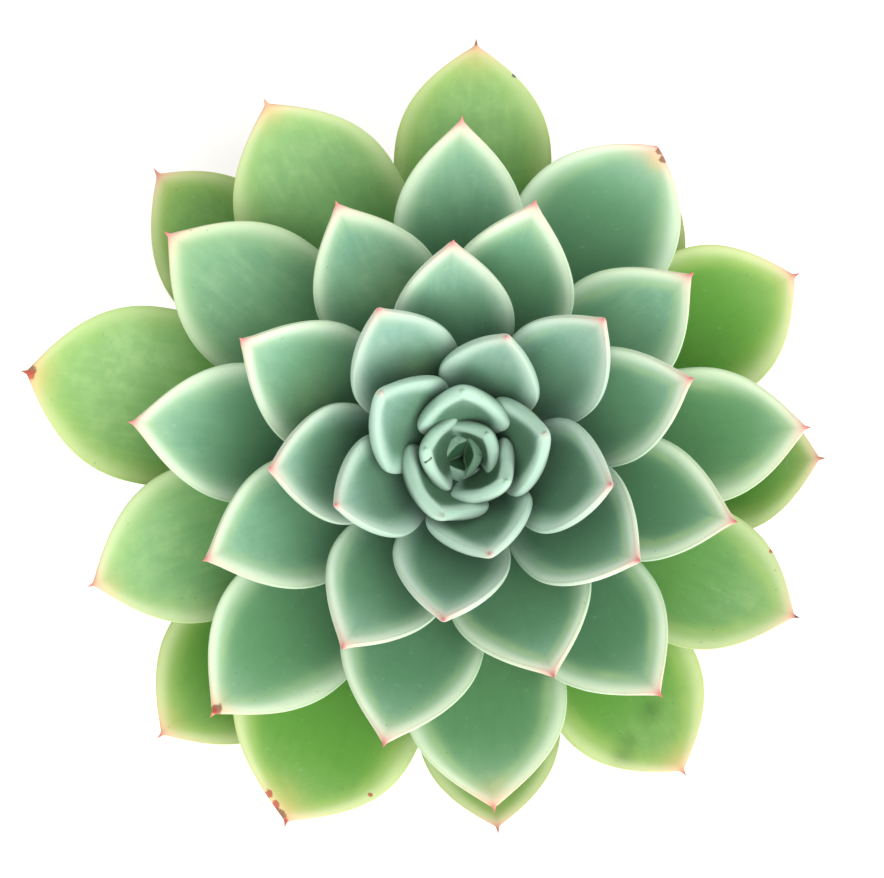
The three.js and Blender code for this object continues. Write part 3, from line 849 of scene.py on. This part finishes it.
def join_leaves(name, leaves):
    """One piece from one or more leaves, with their paint."""
    grown = [grow_leaf(leaf) for leaf in leaves]
    points = np.concatenate([points for points, _, _ in grown])
    step = len(grown[0][0])
    faces = []
    for place, (_, leaf_faces, _) in enumerate(grown):
        faces += [[corner + step * place for corner in corners] for corners in leaf_faces]
    piece = solid_piece(name, points, faces, leaf_finish.material)
    for key in grown[0][2]:
        paint(piece, key, np.concatenate([shares[key] for _, _, shares in grown]))
    return piece


finish_piece(join_leaves("heart_bud", range(BUD_LEAVES)), "young_leaf", "bud")
for leaf in range(BUD_LEAVES, LEAVES):
    slot = "young_leaf" if leaf < RIPE_FROM else "old_leaf"
    finish_piece(join_leaves(f"rosette_leaf_{leaf:02d}", [leaf]), slot, f"leaf_{leaf:02d}")
print("Grew", LEAVES - BUD_LEAVES, "leaves and a bud")

# %% [markdown]
# ## The stem
# As the oldest leaves wither and drop they leave a short corky stem, with a scar where each one stood.
# Carving every scar by hand would be slow, and they would miss the spiral.
# So the spiral is carried on below the oldest leaf, and the stem's surface dips at each of its places.

# %% The stem
SOIL_LEVEL = 47.0
STEM_RADIUS = 5.4
ROOT_DEPTH = 13.0
ROOT_TAPER = 1.4
STEM_SPACING = 0.2
STEM_COLUMNS = 150
FALLEN = 26
FALLEN_SPACING = 0.42
SCAR_WIDTH = 2.6
SCAR_HEIGHT = 0.75
SCAR_DEPTH = 0.45
LIP_HEIGHT = 0.12
FURROW_DEPTH = 0.12
FURROWS = 17

stem_foot = SOIL_LEVEL - ROOT_DEPTH
neck_top = SEAT_HEIGHT[-1] - 1
root_heights = [stem_foot, stem_foot + 2 * ROOT_TAPER, SOIL_LEVEL]
root_radii = [STEM_RADIUS - ROOT_TAPER, STEM_RADIUS, STEM_RADIUS]
key_heights = np.concatenate([root_heights, SEAT_HEIGHT[BUD_LEAVES:][::-1]])
key_radii = np.concatenate([root_radii, SEAT_RADIUS[BUD_LEAVES:][::-1] - SEAT_DEPTH])
heights = np.arange(stem_foot, SEAT_HEIGHT[BUD_LEAVES], STEM_SPACING)[:, None]
angles = (2 * np.pi * np.arange(STEM_COLUMNS) / STEM_COLUMNS)[None, :]


def fallen_scars(heights, angles):
    """How much of a scar each point of the stem is in, and how much on its raised edge.

    A scar is a lens lying on its side. Its distance is 0 in the middle and 1 on its edge.
    """
    place = LEAVES + np.arange(FALLEN)
    azimuth = np.radians(FIRST_AZIMUTH + place * DIVERGENCE)
    height = neck_top - FALLEN_SPACING * np.arange(FALLEN)
    apart = (angles[..., None] - azimuth + np.pi) % (2 * np.pi) - np.pi
    distance = np.hypot(apart * STEM_RADIUS / SCAR_WIDTH, (heights[..., None] - height) / SCAR_HEIGHT)
    nearest = distance.min(axis=-1)
    return np.exp(-(nearest**4)), np.exp(-(((nearest - 1.15) / 0.3) ** 2))


scar, lip = fallen_scars(heights, angles)
furrows = FURROW_DEPTH * np.sin(FURROWS * angles + 0.7 * heights) * np.sin(5 * angles - 0.4 * heights)
below_crown = 1 - smooth(heights, neck_top - 1, neck_top + 1.5)
stem_radius = np.interp(heights, key_heights, key_radii) + furrows * below_crown
stem_radius = stem_radius + below_crown * (LIP_HEIGHT * lip - SCAR_DEPTH * scar)
stem_x = STEM_X + stem_radius * np.cos(angles)
stem_y = STEM_Y + stem_radius * np.sin(angles)
stem_rings = np.stack([stem_x, stem_y, heights + 0 * angles], axis=-1)
print("The bare neck is", round(float(neck_top - SOIL_LEVEL), 1), "mm tall")

# %% [markdown]
# ## Bark
# Cork is dull, dry and split along the stem. The scars are paler, and the growing crown is still green.

# %% Bark
bark_finish = Finish("corky_bark")
scarred = bark_finish.painted("scar")
lipped = bark_finish.painted("lip")
growing = bark_finish.painted("growing")
splits = bark_finish.node(
    "ShaderNodeTexWave",
    {"Vector": bark_finish.place, "Scale": 130.0, "Distortion": 9.0, "Detail": 4.0, "Detail Scale": 2.0},
    bands_direction="DIAGONAL",
).outputs["Fac"]
flecks = bark_finish.noise(0.7, 6.0, 0.7)
weathered = bark_finish.spread(bark_finish.noise(4.0), 0.35, 0.65)
bark = bark_finish.mixed(weathered, srgb(132, 112, 84), srgb(158, 140, 108))
bark = bark_finish.mixed(bark_finish.spread(splits, 0.55, 0.9, 0.0, 0.5), bark, srgb(84, 66, 48))
bark = bark_finish.mixed(bark_finish.maths("MULTIPLY", scarred, 0.7), bark, srgb(186, 168, 128))
bark = bark_finish.mixed(bark_finish.maths("MULTIPLY", lipped, 0.5), bark, srgb(92, 74, 52))
bark = bark_finish.mixed(bark_finish.spread(flecks, 0.58, 0.75, 0.0, 0.4), bark, srgb(70, 56, 42))
bark = bark_finish.mixed(growing, bark, srgb(142, 170, 108))
bark_finish.wear(bark, 0.86)
bark_finish.relief((splits, 0.12), (flecks, 0.1))

stem_points = tube_points(
    stem_rings, (STEM_X, STEM_Y, stem_foot), (STEM_X, STEM_Y, SEAT_HEIGHT[BUD_LEAVES] + 0.1)
)
stem = solid_piece("corky_stem", stem_points, tube_faces(len(heights), STEM_COLUMNS), bark_finish.material)
paint(stem, "scar", np.append(scar * below_crown, [0, 0]))
paint(stem, "lip", np.append(lip * below_crown, [0, 0]))
paint(stem, "growing", np.append((1 - below_crown) + 0 * angles, [0, 1]))
finish_piece(stem, "bark", "stem")

# %% [markdown]
# ## The pot
# A plain clay pot is thrown on a wheel, so its form is one outline turned about its axis.
# The outline is a closed loop: along the foot, up the outside, over the rim and down the inside.
# It could be cut from a cylinder, but a turned outline also takes the rounded rim
# and the faint rings that the potter's fingers leave.

# %% The pot's outline
POT_HEIGHT = 52.0
RIM_RADIUS = 35.0
RIM_BAND = 12.0
RIM_STEP = 1.6
BASE_RADIUS = 25.0
WALL = 3.4
FLOOR_THICKNESS = 4.5
DRAIN_RADIUS = 4.0
ROUNDING = 1.7
POT_SPACING = 0.42


def wall_radius(height):
    """The radius of the tapered wall's outside at a height."""
    return between(BASE_RADIUS, RIM_RADIUS - RIM_STEP, height / POT_HEIGHT)


def rounded_loop(corners, rounding, spacing):
    """A closed outline with rounded corners, as points evenly spaced along it.

    Each corner becomes a short curve that starts and ends at the rounding's distance from it.
    """
    corners = np.array(corners, dtype=float)
    to_last = np.roll(corners, 1, axis=0) - corners
    to_next = np.roll(corners, -1, axis=0) - corners
    last_length = np.hypot(to_last[:, 0], to_last[:, 1])[:, None]
    next_length = np.hypot(to_next[:, 0], to_next[:, 1])[:, None]
    start = corners + to_last * np.minimum(rounding / last_length, 0.45)
    end = corners + to_next * np.minimum(rounding / next_length, 0.45)
    share = np.linspace(0, 1, 9)[None, :, None]
    from_start = (1 - share) ** 2 * start[:, None]
    by_corner = 2 * share * (1 - share) * corners[:, None]
    to_end = share**2 * end[:, None]
    loop = (from_start + by_corner + to_end).reshape(-1, 2)
    loop = np.concatenate([loop, loop[:1]])
    along = np.concatenate([[0], np.cumsum(np.hypot(*np.diff(loop, axis=0).T))])
    places = np.linspace(0, along[-1], int(along[-1] / spacing), endpoint=False)
    return np.interp(places, along, loop[:, 0]), np.interp(places, along, loop[:, 1])


band_bottom = POT_HEIGHT - RIM_BAND
pot_radius, pot_height = rounded_loop(
    [
        (DRAIN_RADIUS, 0),
        (BASE_RADIUS, 0),
        (wall_radius(band_bottom), band_bottom),
        (RIM_RADIUS, band_bottom + 1),
        (RIM_RADIUS, POT_HEIGHT),
        (wall_radius(POT_HEIGHT) - WALL, POT_HEIGHT),
        (wall_radius(FLOOR_THICKNESS) - WALL, FLOOR_THICKNESS),
        (DRAIN_RADIUS, FLOOR_THICKNESS),
    ],
    ROUNDING,
    POT_SPACING,
)
print("Points round the pot's outline:", len(pot_radius))

# %% [markdown]
# ## Thrown clay
# The wheel leaves shallow rings and the firing leaves the pot a hair out of round.
# Terracotta is porous: pores and paler grog show in it, lime from the water blooms low on the wall
# and on the rim, and splashed soil darkens the inside.

# %% Thrown clay
POT_COLUMNS = 200
THROWING_PITCH = 2.3
THROWING_DEPTH = 0.12
OUT_OF_ROUND = 0.004

pot_angles = (2 * np.pi * np.arange(POT_COLUMNS) / POT_COLUMNS)[None, :]
level = pot_height[:, None]
wandering = level + 0.7 * np.sin(level / 4.3)
fingers = 0.5 + 0.5 * np.sin(2 * np.pi * wandering / THROWING_PITCH + 0.4 * np.sin(pot_angles))
ovalness = 1 - OUT_OF_ROUND * (0.5 + 0.5 * np.cos(2 * pot_angles + 0.6))
turned = (pot_radius[:, None] - THROWING_DEPTH * fingers) * ovalness
pot_x = turned * np.cos(pot_angles)
pot_y = turned * np.sin(pot_angles)
pot_points = np.stack([pot_x, pot_y, level + 0 * pot_angles], axis=-1).reshape(-1, 3) / 1000

clay_finish = Finish("fired_clay")
lime = clay_finish.painted("lime")
splashed = clay_finish.painted("splashed")
grog = clay_finish.noise(0.9, 6.0, 0.65)
pores = clay_finish.noise(0.5, 3.0)
fired = clay_finish.spread(clay_finish.noise(16.0), 0.35, 0.7)
clay = clay_finish.mixed(fired, srgb(176, 100, 70), srgb(154, 82, 56))
clay = clay_finish.mixed(clay_finish.spread(grog, 0.5, 0.8, 0.0, 0.35), clay, srgb(198, 132, 98))
clay = clay_finish.mixed(clay_finish.spread(pores, 0.6, 0.72, 0.0, 0.5), clay, srgb(108, 54, 38))
crust = clay_finish.maths("MULTIPLY", lime, clay_finish.spread(clay_finish.noise(7.0, 7.0, 0.7), 0.42, 0.64))
clay = clay_finish.mixed(clay_finish.maths("MULTIPLY", crust, 0.8), clay, srgb(228, 214, 198))
clay = clay_finish.mixed(splashed, clay, srgb(92, 62, 46))
clay_finish.wear(clay, clay_finish.spread(crust, 0.0, 1.0, 0.84, 0.95))
clay_finish.relief((grog, 0.06), (pores, 0.1), (crust, 0.08))

pot_faces = loop_faces(len(pot_radius), POT_COLUMNS)
pot = solid_piece("terracotta_pot", pot_points, pot_faces, clay_finish.material)
inside = (level < POT_HEIGHT - 1) & (pot_radius[:, None] < wall_radius(level) - WALL / 2) & (level > 0.5)
foot_lime = np.exp(-((level / 7) ** 2))
band_lime = 0.7 * np.exp(-(((level - band_bottom) / 3) ** 2))
rim_lime = 0.5 * smooth(level, POT_HEIGHT - 2.5, POT_HEIGHT)
paint(pot, "lime", foot_lime + band_lime + rim_lime + 0 * pot_angles)
paint(pot, "splashed", 0.6 * inside * smooth(-level, -SOIL_LEVEL - 4, -SOIL_LEVEL) + 0 * pot_angles)
finish_piece(pot, "clay", "pot")

# %% [markdown]
# ## Soil
# The mix that suits such a plant is mostly grit: pumice, lava and crumbs of compost.
# The filling is one body with a rough top, heaped a little round the stem.
# Waves in many directions, with a seeded start for each, make the roughness.

# %% Soil
SOIL_HUMP = 1.4
HUMP_REACH = 0.5
CRUMB_HEIGHT = 0.3
CRUMB_WAVES = 24
SOIL_ROWS = 110
SOIL_COLUMNS = 220

dice = np.random.default_rng(5)
wave_turn = dice.uniform(0, 2 * np.pi, CRUMB_WAVES)
wave_start = dice.uniform(0, 2 * np.pi, CRUMB_WAVES)
wave_number = dice.uniform(0.9, 4.2, CRUMB_WAVES)


def soil_height(x, y):
    """The height of the soil at a place: a heap at the stem and a sum of small waves."""
    away = np.hypot(x - STEM_X, y - STEM_Y) / RIM_RADIUS
    heap = SOIL_HUMP * np.exp(-((away / HUMP_REACH) ** 2))
    across = x[..., None] * np.cos(wave_turn) + y[..., None] * np.sin(wave_turn)
    crumbs = np.sin(wave_number * across + wave_start).sum(axis=-1) / np.sqrt(CRUMB_WAVES)
    return SOIL_LEVEL - SOIL_HUMP + heap + CRUMB_HEIGHT * crumbs


soil_foot = FLOOR_THICKNESS + 0.3
soil_radius = wall_radius(SOIL_LEVEL) - WALL + 0.1
soil_angles = (2 * np.pi * np.arange(SOIL_COLUMNS) / SOIL_COLUMNS)[None, :]
soil_steps = soil_radius * (1 - np.arange(SOIL_ROWS) / SOIL_ROWS)[:, None]
top_x = soil_steps * np.cos(soil_angles)
top_y = soil_steps * np.sin(soil_angles)
soil_top = np.stack([top_x, top_y, soil_height(top_x, top_y)], axis=-1)
foot_radius = wall_radius(soil_foot) - WALL - 0.3
foot_x = foot_radius * np.cos(soil_angles)
foot_y = foot_radius * np.sin(soil_angles)
soil_bottom = np.stack([foot_x, foot_y, soil_foot + 0 * soil_angles], axis=-1)
soil_rings = np.concatenate([soil_bottom, soil_top])
soil_centre = float(soil_height(np.zeros(1), np.zeros(1))[0])
soil_points = tube_points(soil_rings, (0, 0, soil_foot), (0, 0, soil_centre))
soil_faces = tube_faces(SOIL_ROWS + 1, SOIL_COLUMNS)
print("The soil's rim is", round(float(soil_radius), 1), "mm from the pot's axis")

# %% [markdown]
# ## Grit
# Each stone is a ring or two of points between two poles, pulled about at random and tilted,
# so it needs only a few dozen faces, and numpy makes all of them in one go.
# They lie half sunk in the filling, and none of them stands inside the stem.

# %% Grit
STONES = 1500
STONE_ROWS = 3
STONE_COLUMNS = 6
STONE_SIZES = (0.35, 1.35)
STEM_CLEARANCE = 0.6

stone_turn = dice.uniform(0, 2 * np.pi, STONES)
stone_away = (soil_radius - 1) * np.sqrt(dice.uniform(0, 1, STONES))
stone_x = stone_away * np.cos(stone_turn)
stone_y = stone_away * np.sin(stone_turn)
outside_stem = np.hypot(stone_x - STEM_X, stone_y - STEM_Y) > STEM_RADIUS + STEM_CLEARANCE
stone_x = stone_x[outside_stem]
stone_y = stone_y[outside_stem]
stones = len(stone_x)
stone_size = between(*STONE_SIZES, dice.uniform(0, 1, stones) ** 2.2)

latitude = np.radians(np.linspace(-48, 48, STONE_ROWS))[None, :, None]
longitude = (2 * np.pi * np.arange(STONE_COLUMNS) / STONE_COLUMNS)[None, None, :]
pulled = dice.uniform(0.75, 1.15, (stones, STONE_ROWS, STONE_COLUMNS))
lump = np.stack(
    [
        pulled * np.cos(latitude) * np.cos(longitude),
        pulled * np.cos(latitude) * np.sin(longitude),
        0.75 * pulled * np.sin(latitude) + 0 * longitude,
    ],
    axis=-1,
).reshape(stones, -1, 3)
poles = np.array([[0, 0, -0.7], [0, 0, 0.7]]) * dice.uniform(0.8, 1.1, (stones, 1, 1))
lump = np.concatenate([lump, poles], axis=1) * stone_size[:, None, None]

spin = dice.uniform(0, 2 * np.pi, stones)
tilt = dice.uniform(-0.7, 0.7, stones)
zero = 0 * spin
spun = np.array([
    [np.cos(spin), -np.sin(spin), zero],
    [np.sin(spin), np.cos(spin), zero],
    [zero, zero, zero + 1],
])
tilted = np.array([
    [zero + 1, zero, zero],
    [zero, np.cos(tilt), -np.sin(tilt)],
    [zero, np.sin(tilt), np.cos(tilt)],
])
lump = np.einsum("ijn,jkn,npk->npi", spun, tilted, lump)
stone_place = np.stack([stone_x, stone_y, soil_height(stone_x, stone_y) + 0.1 * stone_size], axis=-1)
stone_points = (lump + stone_place[:, None, :]).reshape(-1, 3) / 1000
one_stone = tube_faces(STONE_ROWS, STONE_COLUMNS)
per_stone = STONE_ROWS * STONE_COLUMNS + 2
stone_faces = []
for stone in range(stones):
    first_corner = len(soil_points) + stone * per_stone
    stone_faces += [[first_corner + corner for corner in stone_corners] for stone_corners in one_stone]
print("Stones:", stones)

# %% [markdown]
# ## Compost and stone
# One finish serves both. Each point carries the number of its stone's kind, and 0 is the compost:
# it is nearly black and damp, and the stones are cream pumice, rust-red lava or grey quartz.

# %% Compost and stone
soil_finish = Finish("gritty_compost")
kind = soil_finish.painted("kind")
dust = soil_finish.noise(0.5, 5.0, 0.7)
dusty = soil_finish.spread(dust, 0.4, 0.65)
dry = soil_finish.spread(soil_finish.noise(2.0), 0.35, 0.65)
compost = soil_finish.mixed(dry, srgb(52, 40, 32), srgb(84, 66, 50))
pumice = soil_finish.mixed(dusty, srgb(206, 196, 174), srgb(164, 150, 126))
lava = soil_finish.mixed(dusty, srgb(122, 72, 54), srgb(74, 50, 42))
quartz = soil_finish.mixed(dusty, srgb(136, 132, 124), srgb(98, 94, 88))
ground = soil_finish.mixed(soil_finish.spread(kind, 0.05, 0.06), compost, lava)
ground = soil_finish.mixed(soil_finish.spread(kind, 0.4, 0.41), ground, quartz)
ground = soil_finish.mixed(soil_finish.spread(kind, 0.6, 0.61), ground, pumice)
soil_finish.wear(ground, 0.93)
soil_finish.relief((dust, 0.12))

soil = solid_piece(
    "gritty_soil",
    np.concatenate([soil_points, stone_points]),
    soil_faces + stone_faces,
    soil_finish.material,
)
smooth_faces = np.arange(len(soil.data.polygons)) < len(soil_faces)
soil.data.polygons.foreach_set("use_smooth", smooth_faces)
stone_kind = np.repeat(dice.uniform(0.1, 1, stones), per_stone)
paint(soil, "kind", np.concatenate([np.zeros(len(soil_points)), stone_kind]))
finish_piece(soil, "soil", "soil")
